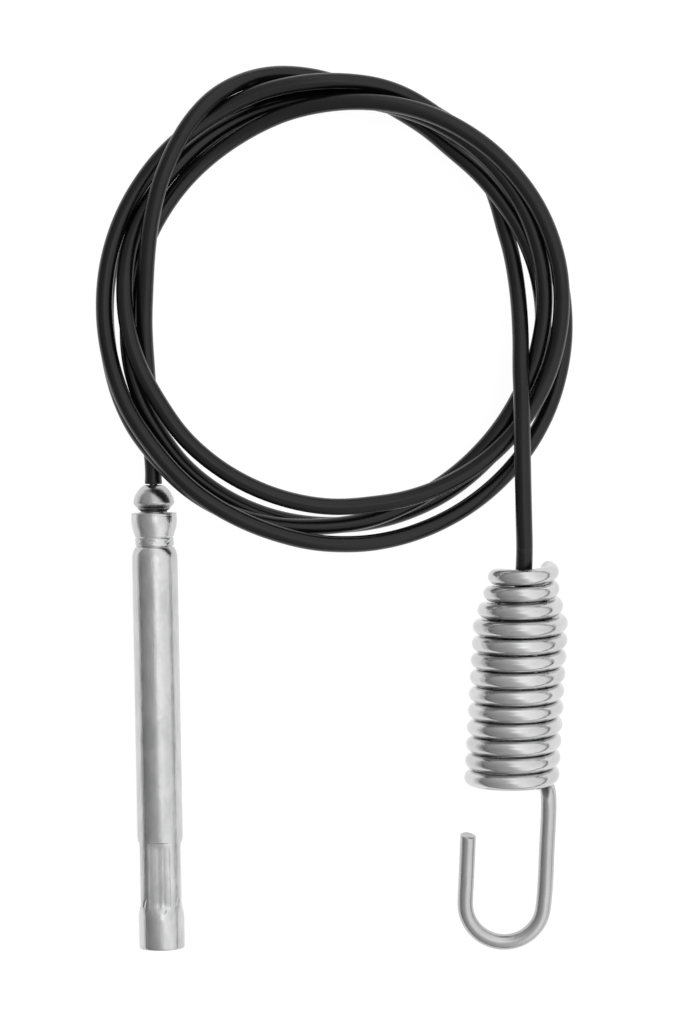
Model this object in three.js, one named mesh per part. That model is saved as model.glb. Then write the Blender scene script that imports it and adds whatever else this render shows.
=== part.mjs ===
// Drive engagement cable: a vinyl-coated wire cable wound in a loose coil, with a dome-headed
// swivel plug turning in a crimped sleeve on one end, and an extension spring with a side hook
// on the other. Millimetres, +Z up, lying on z = 0. Origin: middle of the foot of the fittings.
import * as THREE from 'three';
import { mergeVertices } from 'three/addons/utils/BufferGeometryUtils.js';

// ---------------------------------------------------------------- driving dimensions
const CABLE_D = 4.6;                 // jacket outside diameter
const ROPE_D = 2.4;                  // bare wire rope
const GAP = 0.3;                     // clearance between touching pieces

const SLEEVE_OD = 12.7;              // coupling tube, 1/2 in
const SLEEVE_WALL = 1.1;
const SLEEVE_R = SLEEVE_OD / 2;
const SLEEVE_TOP = [-54.12, 56.75];  // x, y of the lip's centre, plug end
const SLEEVE_END = [-51.92, -64.45]; // x, y of the open end's centre
const GROOVE_R = 5.32;               // outside radius in the rolled groove
const CRIMP_R = 5.8;                // outside half width across the crimped waist

const DOME_R = 5.7;                  // plug's dome
const SHANK_R = 4.75;                // plug's shank inside the sleeve
const PLUG_GROOVE_R = 3.7;           // plug's annular groove

const WIRE_D = 4.35;                 // spring wire
const PITCH = 4.68;                  // close-wound pitch
const COIL_R = 10.9;                // mean radius of the body coils
const SPRING_TILT = 5;               // degrees the cable end of the spring is raised
const SPRING_LEAN = 3.0;             // degrees the spring's axis leans in plan
const SPRING_TOP = [48.17, 43.9];    // x, y of the axis at the first coil's top edge
const START_DEG = -25;               // where the wire starts, seen along the axis
const END_DEG = 12 * 360 + 330;      // where the wire leaves the last turn for the hook
const HOOK_R = 10.85;                // hook's bend, wire centre
const HOOK_W = 96;                   // hook's bend centre, along the axis
const HOOK_TIP_W = 77.3;             // cut end of the hook's short leg

const COIL_CENTRE = [-3.5, 113.2];   // cable coil, x, y
const COIL_IN = 52.4;
const COIL_OUT = 66.4;
const COIL_H = 13.6;

// ---------------------------------------------------------------- helpers
const DEG = Math.PI / 180;

function material(color, roughness, metalness) {
  return new THREE.MeshStandardMaterial({ color, roughness, metalness });
}

function solid(name, geometry, mat) {
  geometry.deleteAttribute('normal');
  if (geometry.attributes.uv) geometry.deleteAttribute('uv');
  const merged = mergeVertices(geometry, 1e-4);
  merged.computeVertexNormals();
  const mesh = new THREE.Mesh(merged, mat);
  mesh.name = name;
  return mesh;
}

// Closed surface from rings of points. Each ring has the same count. closed = the last ring
// joins the first (a tube that has a bore); otherwise both ends are capped flat.
function loft(rings, closed) {
  const n = rings[0].length;
  const pos = [];
  for (const ring of rings) for (const p of ring) pos.push(p.x, p.y, p.z);
  const index = [];
  const m = rings.length;
  for (let i = 0; i < (closed ? m : m - 1); i++) {
    const a = i * n;
    const b = ((i + 1) % m) * n;
    for (let j = 0; j < n; j++) {
      const k = (j + 1) % n;
      index.push(a + j, a + k, b + k, a + j, b + k, b + j);
    }
  }
  if (!closed) {
    const centre = (ring) => ring.reduce((s, p) => s.add(p), new THREE.Vector3()).divideScalar(n);
    const c0 = centre(rings[0]);
    const c1 = centre(rings[m - 1]);
    const i0 = pos.length / 3;
    pos.push(c0.x, c0.y, c0.z, c1.x, c1.y, c1.z);
    const last = (m - 1) * n;
    for (let j = 0; j < n; j++) {
      const k = (j + 1) % n;
      index.push(i0, k, j);
      index.push(i0 + 1, last + j, last + k);
    }
  }
  const g = new THREE.BufferGeometry();
  g.setAttribute('position', new THREE.Float32BufferAttribute(pos, 3));
  g.setIndex(index);
  return g;
}

// Signed volume, to set the faces outwards.
function outward(g) {
  const p = g.attributes.position;
  const ix = g.index.array;
  let v = 0;
  const a = new THREE.Vector3();
  const b = new THREE.Vector3();
  const c = new THREE.Vector3();
  for (let i = 0; i < ix.length; i += 3) {
    a.fromBufferAttribute(p, ix[i]);
    b.fromBufferAttribute(p, ix[i + 1]);
    c.fromBufferAttribute(p, ix[i + 2]);
    v += a.dot(b.clone().cross(c));
  }
  if (v < 0) for (let i = 0; i < ix.length; i += 3) [ix[i + 1], ix[i + 2]] = [ix[i + 2], ix[i + 1]];
  return g;
}

// Rings along a polyline of points with a parallel-transported frame.
function sweep(points, radius, sides, normal0) {
  const n = points.length;
  const tangents = points.map((p, i) => {
    const q = points[Math.min(n - 1, i + 1)].clone().sub(points[Math.max(0, i - 1)]);
    return q.normalize();
  });
  let normal = normal0.clone().addScaledVector(tangents[0], -normal0.dot(tangents[0])).normalize();
  const rings = [];
  for (let i = 0; i < n; i++) {
    normal = normal.clone().addScaledVector(tangents[i], -normal.dot(tangents[i])).normalize();
    const binormal = tangents[i].clone().cross(normal);
    const ring = [];
    for (let j = 0; j < sides; j++) {
      const t = (j / sides) * 2 * Math.PI;
      ring.push(points[i].clone()
        .addScaledVector(normal, radius * Math.cos(t))
        .addScaledVector(binormal, radius * Math.sin(t)));
    }
    rings.push(ring);
  }
  return rings;
}

// Local frame of the sleeve: +u along the axis from the plug end to the open end.
const sleeveAxis = new THREE.Vector3(SLEEVE_END[0] - SLEEVE_TOP[0], SLEEVE_END[1] - SLEEVE_TOP[1], 0);
const SLEEVE_LEN = sleeveAxis.length();
sleeveAxis.normalize();
const sleeveSide = new THREE.Vector3(0, 0, 1).cross(sleeveAxis).normalize();
const sleeveOrigin = new THREE.Vector3(SLEEVE_TOP[0], SLEEVE_TOP[1], SLEEVE_R);
function onSleeve(u, side, up) {
  return sleeveOrigin.clone().addScaledVector(sleeveAxis, u).addScaledVector(sleeveSide, side)
    .add(new THREE.Vector3(0, 0, up));
}
function sleeveRing(u, radiusAt, sides) {
  const ring = [];
  for (let j = 0; j < sides; j++) {
    const t = ((j + 0.5) / sides) * 2 * Math.PI;
    const r = radiusAt(t);
    ring.push(onSleeve(u, r * Math.cos(t), r * Math.sin(t)));
  }
  return ring;
}

// ---------------------------------------------------------------- sleeve
const plated = material(0xb9bcc0, 0.3, 1.0);
const step = (a, b, x) => {
  const t = Math.min(1, Math.max(0, (x - a) / (b - a)));
  return t * t * (3 - 2 * t);
};

// Round profile of the tube's outside along u (distance from the lip).
function roundRadius(u) {
  if (u < 8.3) return SLEEVE_R - (SLEEVE_R - GROOVE_R) * step(0.5, 7.0, u);
  return GROOVE_R + (SLEEVE_R - GROOVE_R) * step(9.6, 13.1, u);
}
// Crimp: four flats pressed in between CRIMP_A and CRIMP_B.
const CRIMP_A = SLEEVE_LEN - 31.4;
const CRIMP_B = SLEEVE_LEN - 8.0;
function crimp(u) {
  return step(CRIMP_A, CRIMP_A + 3.6, u) * (1 - step(CRIMP_B - 5.5, CRIMP_B, u));
}
function squareRadius(t, round, k) {
  // distance to a rounded square with half width CRIMP_R, blended by k
  const c = Math.abs(Math.cos(t));
  const s = Math.abs(Math.sin(t));
  const flat = CRIMP_R / Math.pow(Math.pow(c, 5) + Math.pow(s, 5), 1 / 5);
  return round + (Math.min(flat, round + 0.15) - round) * k;
}
function sleeveOuter(u, t) {
  return squareRadius(t, roundRadius(u), crimp(u));
}
function sleeveInner(u, t) {
  const groove = GROOVE_R - SLEEVE_WALL;
  const bore = SLEEVE_R - SLEEVE_WALL;
  let r;
  if (u < 4.5) r = bore;
  else if (u < 8.3) r = bore - (bore - groove) * step(4.5, 7.0, u);
  else r = groove + (bore - groove) * step(9.6, 12.6, u);
  const k = crimp(u);
  const c = Math.abs(Math.cos(t));
  const s = Math.abs(Math.sin(t));
  const flat = (CRIMP_R - SLEEVE_WALL) / Math.pow(Math.pow(c, 5) + Math.pow(s, 5), 1 / 5);
  return r + (Math.min(flat, r) - r) * k;
}
const SIDES = 28;
const outerU = [0.5, 1.8, 3.2, 4.6, 5.8, 7.0, 9.6, 10.6, 11.6, 12.4, 13.1, 50,
  CRIMP_A, CRIMP_A + 1.3, CRIMP_A + 2.4, CRIMP_A + 3.6, CRIMP_B - 5.5, CRIMP_B - 3.6, CRIMP_B - 1.8, CRIMP_B,
  SLEEVE_LEN - 0.6];
const innerU = [SLEEVE_LEN - 0.3, CRIMP_B, CRIMP_B - 1.8, CRIMP_B - 3.6, CRIMP_B - 5.5, CRIMP_A + 3.6,
  CRIMP_A + 2.4, CRIMP_A + 1.3, CRIMP_A, 50, 12.6, 11.6, 10.6, 9.6, 7.0, 6.2, 5.4, 4.5, 0.3];
const sleeveRings = [];
sleeveRings.push(sleeveRing(0, () => SLEEVE_R - 0.45, SIDES));
for (const u of outerU) sleeveRings.push(sleeveRing(u, (t) => sleeveOuter(u, t), SIDES));
sleeveRings.push(sleeveRing(SLEEVE_LEN, () => SLEEVE_R - 0.35, SIDES));
sleeveRings.push(sleeveRing(SLEEVE_LEN, () => SLEEVE_R - SLEEVE_WALL + 0.2, SIDES));
for (const u of innerU) sleeveRings.push(sleeveRing(u, (t) => sleeveInner(u, t), SIDES));
sleeveRings.push(sleeveRing(0, () => SLEEVE_R - SLEEVE_WALL + 0.15, SIDES));
const sleeveTube = solid('sleeve_tube', outward(loft(sleeveRings, true)), plated);

// ---------------------------------------------------------------- threaded insert
// A steel slug with a rod bore, waisted where the tube is crimped on it.
const INSERT_A = CRIMP_A - 1.6;
const INSERT_B = CRIMP_B + 2.2;
const ROD_R = 3.1;                   // rod bore, taken at the thread's major diameter
function insertOuter(u, t) {
  return sleeveInner(u, t) - GAP;
}
const insertRings = [];
insertRings.push(sleeveRing(INSERT_A, (t) => insertOuter(INSERT_A, t) - 0.5, SIDES));
for (const u of [INSERT_A + 0.5, CRIMP_A, CRIMP_A + 1.3, CRIMP_A + 2.4, CRIMP_A + 3.6, CRIMP_B - 5.5,
  CRIMP_B - 3.6, CRIMP_B - 1.8, CRIMP_B, INSERT_B - 0.5]) {
  insertRings.push(sleeveRing(u, (t) => insertOuter(u, t), SIDES));
}
insertRings.push(sleeveRing(INSERT_B, (t) => insertOuter(INSERT_B, t) - 0.5, SIDES));
insertRings.push(sleeveRing(INSERT_B, () => ROD_R + 0.5, SIDES));
insertRings.push(sleeveRing(INSERT_B - 0.6, () => ROD_R, SIDES));
insertRings.push(sleeveRing(INSERT_A + 0.6, () => ROD_R, SIDES));
insertRings.push(sleeveRing(INSERT_A, () => ROD_R + 0.5, SIDES));
const insert = solid('threaded_insert', outward(loft(insertRings, true)), material(0x8d8f92, 0.45, 1.0));

// ---------------------------------------------------------------- swivel plug
// Turned dome and shank; the tube is rolled into the shank's groove. A bore takes the wire rope.
function latheOnSleeve(name, profile, mat, sides) {
  const g = new THREE.LatheGeometry(profile.map(([r, u]) => new THREE.Vector2(r, u)), sides);
  g.deleteAttribute('normal');
  g.deleteAttribute('uv');
  const merged = mergeVertices(g, 1e-4);
  const m = new THREE.Matrix4().makeBasis(
    sleeveSide, sleeveAxis, new THREE.Vector3().crossVectors(sleeveSide, sleeveAxis));
  m.setPosition(sleeveOrigin);
  merged.applyMatrix4(m);
  return solid(name, outward(merged), mat);
}
const BORE_R = ROPE_D / 2 + 0.3;
const PLUG_TOP = -7.7;
const plug = latheOnSleeve('swivel_plug', [
  [BORE_R, PLUG_TOP], [2.7, PLUG_TOP], [3.7, PLUG_TOP + 0.45], [4.7, PLUG_TOP + 1.3], [5.4, PLUG_TOP + 2.6],
  [DOME_R, PLUG_TOP + 4.0], [DOME_R, PLUG_TOP + 5.0], [5.45, PLUG_TOP + 5.6], [4.5, -0.95], [4.0, -0.7],
  [4.0, 0.0], [SHANK_R, 0.5], [SHANK_R, 3.9], [PLUG_GROOVE_R, 6.3], [PLUG_GROOVE_R, 10.2], [SHANK_R - 0.35, 12.4],
  [SHANK_R, 13.2], [SHANK_R, 15.6], [SHANK_R - 0.6, 16.2], [BORE_R, 16.2], [BORE_R, PLUG_TOP],
], material(0xc4c6ca, 0.28, 1.0), 24);

// ---------------------------------------------------------------- cable, sleeve end
// The wire rope, stripped of its jacket, goes down the plug's bore.
const jacket = material(0x0c0c0d, 0.35, 0.0);
const rope = material(0x55575a, 0.5, 1.0);
const ROPE_TOP = PLUG_TOP - 0.8;
const ropeSleeveEnd = latheOnSleeve('cable_rope_plug_end', [
  [0, ROPE_TOP], [ROPE_D / 2, ROPE_TOP], [ROPE_D / 2, 15.9], [0, 15.9], [0, ROPE_TOP],
].slice(0, 4), rope, 10);

// Jacketed lead from the coil down to the plug.
class PointCurve extends THREE.Curve {
  constructor(points) {
    super();
    this.inner = new THREE.CatmullRomCurve3(points, false, 'centripetal');
  }
  getPoint(t, target = new THREE.Vector3()) {
    return this.inner.getPoint(t, target);
  }
}
function tube(name, points, diameter, steps, sides, mat) {
  const shape = new THREE.Shape();
  for (let i = 0; i < sides; i++) {
    const t = (i / sides) * 2 * Math.PI;
    const x = (diameter / 2) * Math.cos(t);
    const y = (diameter / 2) * Math.sin(t);
    if (i === 0) shape.moveTo(x, y);
    else shape.lineTo(x, y);
  }
  shape.closePath();
  const g = new THREE.ExtrudeGeometry(shape, {
    steps, bevelEnabled: false, curveSegments: 1, extrudePath: new PointCurve(points),
  });
  g.deleteAttribute('normal');
  g.deleteAttribute('uv');
  return solid(name, outward(mergeVertices(g, 1e-4)), mat);
}
const leadStart = onSleeve(ROPE_TOP - 0.3, 0, 0);
const leadSleeve = tube('cable_lead_sleeve', [
  new THREE.Vector3(-54.36, 67.45, 6.1), new THREE.Vector3(-54.33, 66.5, 6.3), leadStart,
], CABLE_D, 3, 10, jacket);

// ---------------------------------------------------------------- cable coil
// Four and a half turns lying on each other, as one ring of their outer shape.
const coilProfile = [
  [COIL_IN + 2.0, 0.15], [COIL_OUT - 2.0, 0.15], [COIL_OUT, 2.2], [COIL_OUT, COIL_H - 6.0],
  [COIL_OUT - 3.6, COIL_H - 1.2], [COIL_OUT - 6.0, COIL_H], [COIL_IN + 6.0, COIL_H], [COIL_IN + 3.0, COIL_H - 1.4],
  [COIL_IN, COIL_H - 6.5], [COIL_IN, 2.2], [COIL_IN + 2.0, 0.15],
];
const coilGeometry = new THREE.LatheGeometry(coilProfile.map(([r, z]) => new THREE.Vector2(r, z)), 56);
coilGeometry.rotateX(Math.PI / 2);
coilGeometry.translate(COIL_CENTRE[0], COIL_CENTRE[1], 0);
coilGeometry.deleteAttribute('normal');
coilGeometry.deleteAttribute('uv');
const coil = solid('cable_coil', outward(mergeVertices(coilGeometry, 1e-4)), jacket);

// ---------------------------------------------------------------- spring
// Local frame: +w along the axis from the first coil to the hook, which lies lower.
const lean = SPRING_LEAN * DEG;
const tilt = SPRING_TILT * DEG;
const springAxis = new THREE.Vector3(
  -Math.sin(lean) * Math.cos(tilt), -Math.cos(lean) * Math.cos(tilt), -Math.sin(tilt));
const springSide = new THREE.Vector3(-Math.cos(lean), Math.sin(lean), 0).negate();
const springUp = new THREE.Vector3().crossVectors(springAxis, springSide).negate().normalize();
if (springUp.z < 0) springUp.negate();
const LOW_W = WIRE_D / 2 + ((12 * 360 + 270 - START_DEG) / 360) * PITCH;   // last turn's foot
const AXIS_Z = LOW_W * Math.sin(tilt) + COIL_R * Math.cos(tilt) + WIRE_D / 2 + 0.05;
const springOrigin = new THREE.Vector3(SPRING_TOP[0], SPRING_TOP[1], AXIS_Z);
function onSpring(w, side, up) {
  return springOrigin.clone().addScaledVector(springAxis, w).addScaledVector(springSide, side)
    .addScaledVector(springUp, up);
}
// Mean coil radius over the turns counted from the cable end: the first three draw in.
function coilRadius(turn) {
  const table = [[0, 7.45], [0.75, 7.6], [1.5, 8.4], [2.5, 9.75], [3.3, COIL_R], [99, COIL_R]];
  for (let i = 1; i < table.length; i++) {
    if (turn <= table[i][0]) {
      const [a, ra] = table[i - 1];
      const [b, rb] = table[i];
      return ra + (rb - ra) * ((turn - a) / (b - a));
    }
  }
  return COIL_R;
}
// Angle 0 is at +side, the picture's right; the wire goes over the top to the left as it winds on.
const springPoints = [];
const STEP = 20;
for (let a = START_DEG; a < END_DEG - 1; a += STEP) {
  const turn = (a - START_DEG) / 360;
  const r = coilRadius(turn);
  springPoints.push(onSpring(WIRE_D / 2 + turn * PITCH, r * Math.cos(a * DEG), r * Math.sin(a * DEG)));
}
// The wire leaves the last turn on the right, from below, and runs down to the hook.
const wEnd = WIRE_D / 2 + ((END_DEG - START_DEG) / 360) * PITCH;
for (const [w, side, up] of [
  [wEnd + 0.35, 10.0, -4.6], [wEnd + 1.4, 10.45, -3.1], [wEnd + 3.1, 10.65, -2.0], [wEnd + 5.6, 10.8, -1.5],
  [wEnd + 12, 10.9, -1.0], [wEnd + 20, 10.95, -0.5],
]) {
  springPoints.push(onSpring(w, side, up));
}
for (let a = 0; a <= 180; a += 15) {
  springPoints.push(onSpring(HOOK_W + HOOK_R * Math.sin(a * DEG), HOOK_R * Math.cos(a * DEG), 0));
}
springPoints.push(onSpring(HOOK_W - 9, -HOOK_R - 0.1, 0));
springPoints.push(onSpring(HOOK_TIP_W, -HOOK_R - 0.25, 0));
const springRings = sweep(springPoints, WIRE_D / 2, 8, new THREE.Vector3(0, 1, 0.1));
const spring = solid('extension_spring', outward(loft(springRings, false)), material(0xb6b9bd, 0.25, 1.0));

// ---------------------------------------------------------------- end stop inside the spring
function latheOnSpring(name, profile, mat, sides) {
  const g = new THREE.LatheGeometry(profile.map(([r, w]) => new THREE.Vector2(r, w)), sides);
  g.deleteAttribute('normal');
  g.deleteAttribute('uv');
  const merged = mergeVertices(g, 1e-4);
  const m = new THREE.Matrix4().makeBasis(
    springSide, springAxis, new THREE.Vector3().crossVectors(springSide, springAxis));
  m.setPosition(springOrigin);
  merged.applyMatrix4(m);
  return solid(name, outward(merged), mat);
}
const STOP_TOP = 9.4;
const STOP_END = 24;
const endStop = latheOnSpring('end_stop', [
  [BORE_R, STOP_TOP], [4.6, STOP_TOP], [5.7, STOP_TOP + 1.3], [5.9, STOP_TOP + 3.0], [5.9, STOP_END - 1.0],
  [5.2, STOP_END], [BORE_R, STOP_END], [BORE_R, STOP_TOP],
], material(0x9fa2a6, 0.4, 1.0), 20);
const ropeStopEnd = latheOnSpring('cable_rope_stop_end', [
  [0, STOP_TOP - 1.6], [ROPE_D / 2, STOP_TOP - 1.6], [ROPE_D / 2, STOP_END - 0.3], [0, STOP_END - 0.3],
], rope, 10);

// Jacketed lead that climbs over the coil and runs straight into the spring.
const intoSpring = [onSpring(-14, 0, 0), onSpring(-6, 0, 0), onSpring(0, 0, 0), onSpring(STOP_TOP - 1.9, 0, 0)];
const leadSpring = tube('cable_lead_spring', [
  new THREE.Vector3(47.3, 99.5, COIL_H + CABLE_D / 2 + 0.4),
  new THREE.Vector3(47.6, 90.0, COIL_H + CABLE_D / 2 + 0.5),
  new THREE.Vector3(48.0, 79.0, 16.9),
  new THREE.Vector3(48.5, 67.0, 18.6),
  ...intoSpring,
], CABLE_D, 10, 10, jacket);

const cable = new THREE.Group();
cable.add(coil, leadSleeve, leadSpring, ropeSleeveEnd, ropeStopEnd, plug, endStop);
const sleeve = new THREE.Group();
sleeve.add(sleeveTube, insert);
const springGroup = new THREE.Group();
springGroup.add(spring);
const assembly = new THREE.Group();
assembly.add(cable, sleeve, springGroup);

export default assembly;
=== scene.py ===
import math

import bpy
import numpy as np
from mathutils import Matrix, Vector


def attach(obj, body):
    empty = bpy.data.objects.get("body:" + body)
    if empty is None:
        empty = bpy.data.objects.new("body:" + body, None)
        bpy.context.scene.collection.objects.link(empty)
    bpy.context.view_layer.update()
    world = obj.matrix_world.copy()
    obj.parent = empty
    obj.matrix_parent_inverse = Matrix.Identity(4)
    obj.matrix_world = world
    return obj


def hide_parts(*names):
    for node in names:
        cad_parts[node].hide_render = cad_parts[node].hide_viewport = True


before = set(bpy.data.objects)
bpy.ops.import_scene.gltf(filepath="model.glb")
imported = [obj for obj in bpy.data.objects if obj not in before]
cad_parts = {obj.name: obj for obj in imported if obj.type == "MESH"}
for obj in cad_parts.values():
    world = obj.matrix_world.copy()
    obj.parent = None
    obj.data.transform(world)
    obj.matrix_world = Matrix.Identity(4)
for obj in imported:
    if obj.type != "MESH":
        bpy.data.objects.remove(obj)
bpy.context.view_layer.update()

MM = 0.001
TAU = 2 * math.pi

# ---------------------------------------------------------------- camera
# Looking straight down on a cable laid out on a white table, a little above the middle of it.
cam = bpy.data.cameras.new("camera")
cam.lens = 120.40
cam.shift_y = -40 / 1024
cam.sensor_width = 36.0
cam.clip_start = 0.05
cam.clip_end = 30.0
camera = bpy.data.objects.new("camera", cam)
camera.location = (-0.00228, 0.08455, 0.95784)
camera.rotation_euler = (math.radians(-0.9928), 0.0, 0.0)
bpy.context.scene.collection.objects.link(camera)
bpy.context.scene.camera = camera


# ---------------------------------------------------------------- shapes
def unit(v):
    return v / np.linalg.norm(v, axis=-1, keepdims=True)


def smooth(a, b, x):
    t = np.clip((np.asarray(x, float) - a) / (b - a), 0, 1)
    return t * t * (3 - 2 * t)


class Spline:
    """A natural cubic spline through points, by the distance along their chords."""

    def __init__(self, points):
        self.p = np.array(points, float)
        self.s = np.r_[0, np.cumsum(np.linalg.norm(np.diff(self.p, axis=0), axis=1))]
        n, h = len(self.p), np.diff(self.s)
        a, b = np.eye(n), np.zeros((n, self.p.shape[1]))
        for i in range(1, n - 1):
            a[i, i - 1 : i + 2] = h[i - 1], 2 * (h[i - 1] + h[i]), h[i]
            b[i] = 6 * ((self.p[i + 1] - self.p[i]) / h[i] - (self.p[i] - self.p[i - 1]) / h[i - 1])
        self.m = np.linalg.solve(a, b)
        self.h = h
        self.length = self.s[-1]

    def __call__(self, x):
        x = np.clip(x, 0, self.length)
        i = np.clip(np.searchsorted(self.s, x, side="right") - 1, 0, len(self.h) - 1)
        h = self.h[i][:, None]
        t = (x - self.s[i])[:, None]
        r = h - t
        return (
            self.m[i] * r**3 / (6 * h)
            + self.m[i + 1] * t**3 / (6 * h)
            + (self.p[i] / h - self.m[i] * h / 6) * r
            + (self.p[i + 1] / h - self.m[i + 1] * h / 6) * t
        )


def even(points, step):
    """The spline through these points, at even steps of its real length: (places, distances)."""
    spline = Spline(points)
    fine = spline(np.linspace(0, spline.length, int(spline.length / step * 6) + 2))
    d = np.r_[0, np.cumsum(np.linalg.norm(np.diff(fine, axis=0), axis=1))]
    s = np.linspace(0, d[-1], int(round(d[-1] / step)) + 1)
    return np.c_[[np.interp(s, d, fine[:, k]) for k in range(3)]].T, s


def frames(line, start):
    """Tangents, and two directions across the line that don't twist along it."""
    t = unit(np.gradient(line, axis=0))
    a = np.zeros_like(line)
    n = np.array(start, float)
    for i in range(len(line)):
        n = n - t[i] * (n @ t[i])
        n = n / np.linalg.norm(n)
        a[i] = n
    return t, a, np.cross(t, a)


def quads(rings, sides, loop=False):
    i = np.arange(rings if loop else rings - 1)[:, None]
    j = np.arange(sides)[None, :]
    nxt, right = (i + 1) % rings, (j + 1) % sides
    return np.stack([i * sides + j, i * sides + right, nxt * sides + right, nxt * sides + j], -1).reshape(-1, 4)


def volume(verts, faces):
    """Signed volume, from which the faces' side is told."""
    total = 0.0
    for f in faces:
        p = verts[list(f)]
        for k in range(1, len(f) - 1):
            total += p[0] @ np.cross(p[k], p[k + 1])
    return total


def mesh_piece(name, verts, faces, local, material, sharp=38, wear_and_shade=None):
    """An object from millimetre vertices. local is each vertex's place on the unrolled surface, for its grain; the last
    argument is each vertex's wear, and on the spring's hook also painted shade.
    """
    verts = np.asarray(verts, float)
    faces = [tuple(int(x) for x in f) for f in faces]
    if volume(verts, faces) < 0:
        faces = [f[::-1] for f in faces]
    mesh = bpy.data.meshes.new(name)
    mesh.from_pydata((verts * MM).tolist(), [], faces)
    grain = mesh.attributes.new("grain", "FLOAT_VECTOR", "POINT")
    grain.data.foreach_set("vector", np.asarray(local, np.float32).ravel())
    wear_and_shade_map = mesh.attributes.new("wear_and_shade_map", "FLOAT", "POINT")
    wear_and_shade_map.data.foreach_set("value", np.zeros(len(verts), np.float32) if wear_and_shade is None else np.asarray(wear_and_shade, np.float32))
    mesh.shade_smooth()
    mesh.set_sharp_from_angle(angle=math.radians(sharp))
    mesh.validate()
    mesh.materials.append(material)
    piece = bpy.data.objects.new(name, mesh)
    bpy.context.scene.collection.objects.link(piece)
    return piece


def ringed(rings, caps=True, loop=False):
    """Vertices and faces of a surface through rings of equal size."""
    m, n = rings.shape[:2]
    faces = [tuple(f) for f in quads(m, n, loop)]
    if caps and not loop:
        faces.append(tuple(range(n))[::-1])
        faces.append(tuple((m - 1) * n + j for j in range(n)))
    return rings.reshape(-1, 3), faces


def wire(line, s, radius, sides, start, shear=None):
    """A round wire along a line, closed at both ends. radius is one number for each point of the line."""
    t, a, b = frames(line, start)
    ang = np.arange(sides) / sides * TAU
    out = a[:, None] * np.cos(ang)[None, :, None] + b[:, None] * np.sin(ang)[None, :, None]
    rings = line[:, None] + out * radius[:, None, None]
    if shear is not None:
        rings = rings + shear(rings, line, t)
    local = np.stack(
        [
            np.broadcast_to(np.cos(ang), rings.shape[:2]) * radius[:, None],
            np.broadcast_to(np.sin(ang), rings.shape[:2]) * radius[:, None],
            np.broadcast_to(s[:, None], rings.shape[:2]),
        ],
        -1,
    )
    verts, faces = ringed(rings)
    return verts, faces, local.reshape(-1, 3)


def joined(parts):
    verts, faces, local, n = [], [], [], 0
    for v, f, l in parts:
        verts.append(v)
        local.append(l)
        faces += [tuple(i + n for i in face) for face in f]
        n += len(v)
    return np.vstack(verts), faces, np.vstack(local)


# ---------------------------------------------------------------- materials
class Nodes:
    """A material whose grain follows its piece: x and y are across, z is along, all in millimetres."""

    def __init__(self, name):
        self.m = bpy.data.materials.new(name)
        self.m.use_nodes = True
        self.tree = self.m.node_tree
        self.shader = self.tree.nodes["Principled BSDF"]
        self.place = self.add("ShaderNodeAttribute")
        self.place.attribute_name = "grain"
        # each vertex's real wear, and on the spring's hook painted shade
        self.wear_and_shade_map = self.add("ShaderNodeAttribute")
        self.wear_and_shade_map.attribute_name = "wear_and_shade_map"

    def add(self, kind, **props):
        n = self.tree.nodes.new(kind)
        for k, v in props.items():
            setattr(n, k, v)
        return n

    def link(self, a, b):
        self.tree.links.new(a, b)

    def stretched(self, x, y, z, turn=0.0):
        """The piece's place, scaled along each direction."""
        n = self.add("ShaderNodeMapping")
        n.inputs["Scale"].default_value = (x, y, z)
        n.inputs["Rotation"].default_value = (0, 0, turn)
        self.link(self.place.outputs["Vector"], n.inputs["Vector"])
        return n.outputs["Vector"]

    def noise(self, place, scale=1.0, detail=3.0, rough=0.55, distortion=0.0):
        n = self.add("ShaderNodeTexNoise")
        n.inputs["Scale"].default_value = scale
        n.inputs["Detail"].default_value = detail
        n.inputs["Roughness"].default_value = rough
        n.inputs["Distortion"].default_value = distortion
        self.link(place, n.inputs["Vector"])
        return n.outputs["Fac"]

    def spots(self, place, scale=1.0, low=0.0, high=0.2):
        """1 in the middle of scattered cells, 0 away from them."""
        n = self.add("ShaderNodeTexVoronoi")
        n.inputs["Scale"].default_value = scale
        self.link(place, n.inputs["Vector"])
        return self.span(n.outputs["Distance"], low, high, 1.0, 0.0)

    def span(self, value, a, b, lo, hi, curve="SMOOTHSTEP"):
        n = self.add("ShaderNodeMapRange", interpolation_type=curve)
        n.inputs["From Min"].default_value = a
        n.inputs["From Max"].default_value = b
        n.inputs["To Min"].default_value = lo
        n.inputs["To Max"].default_value = hi
        self.link(value, n.inputs["Value"])
        return n.outputs["Result"]

    def math(self, op, a, b):
        n = self.add("ShaderNodeMath", operation=op)
        for k, v in enumerate((a, b)):
            if isinstance(v, (int, float)):
                n.inputs[k].default_value = v
            else:
                self.link(v, n.inputs[k])
        return n.outputs[0]

    def blend(self, factor, a, b):
        n = self.add("ShaderNodeMix", data_type="RGBA")
        self.link(factor, n.inputs["Factor"])
        for k, v in (("A", a), ("B", b)):
            socket = [s for s in n.inputs if s.name == k and s.type == "RGBA"][0]
            if isinstance(v, tuple):
                socket.default_value = (*v, 1.0)
            else:
                self.link(v, socket)
        return [s for s in n.outputs if s.type == "RGBA"][0]

    def bump(self, height, distance, strength=1.0, under=None):
        n = self.add("ShaderNodeBump")
        n.inputs["Strength"].default_value = strength
        n.inputs["Distance"].default_value = distance
        self.link(height, n.inputs["Height"])
        if under is not None:
            self.link(under, n.inputs["Normal"])
        return n.outputs["Normal"]

    def finish(self, colour, roughness, normal, **plain):
        self.link(colour, self.shader.inputs["Base Color"])
        self.link(roughness, self.shader.inputs["Roughness"])
        self.link(normal, self.shader.inputs["Normal"])
        for k, v in plain.items():
            self.shader.inputs[k.replace("_", " ")].default_value = v
        return self.m


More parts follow.
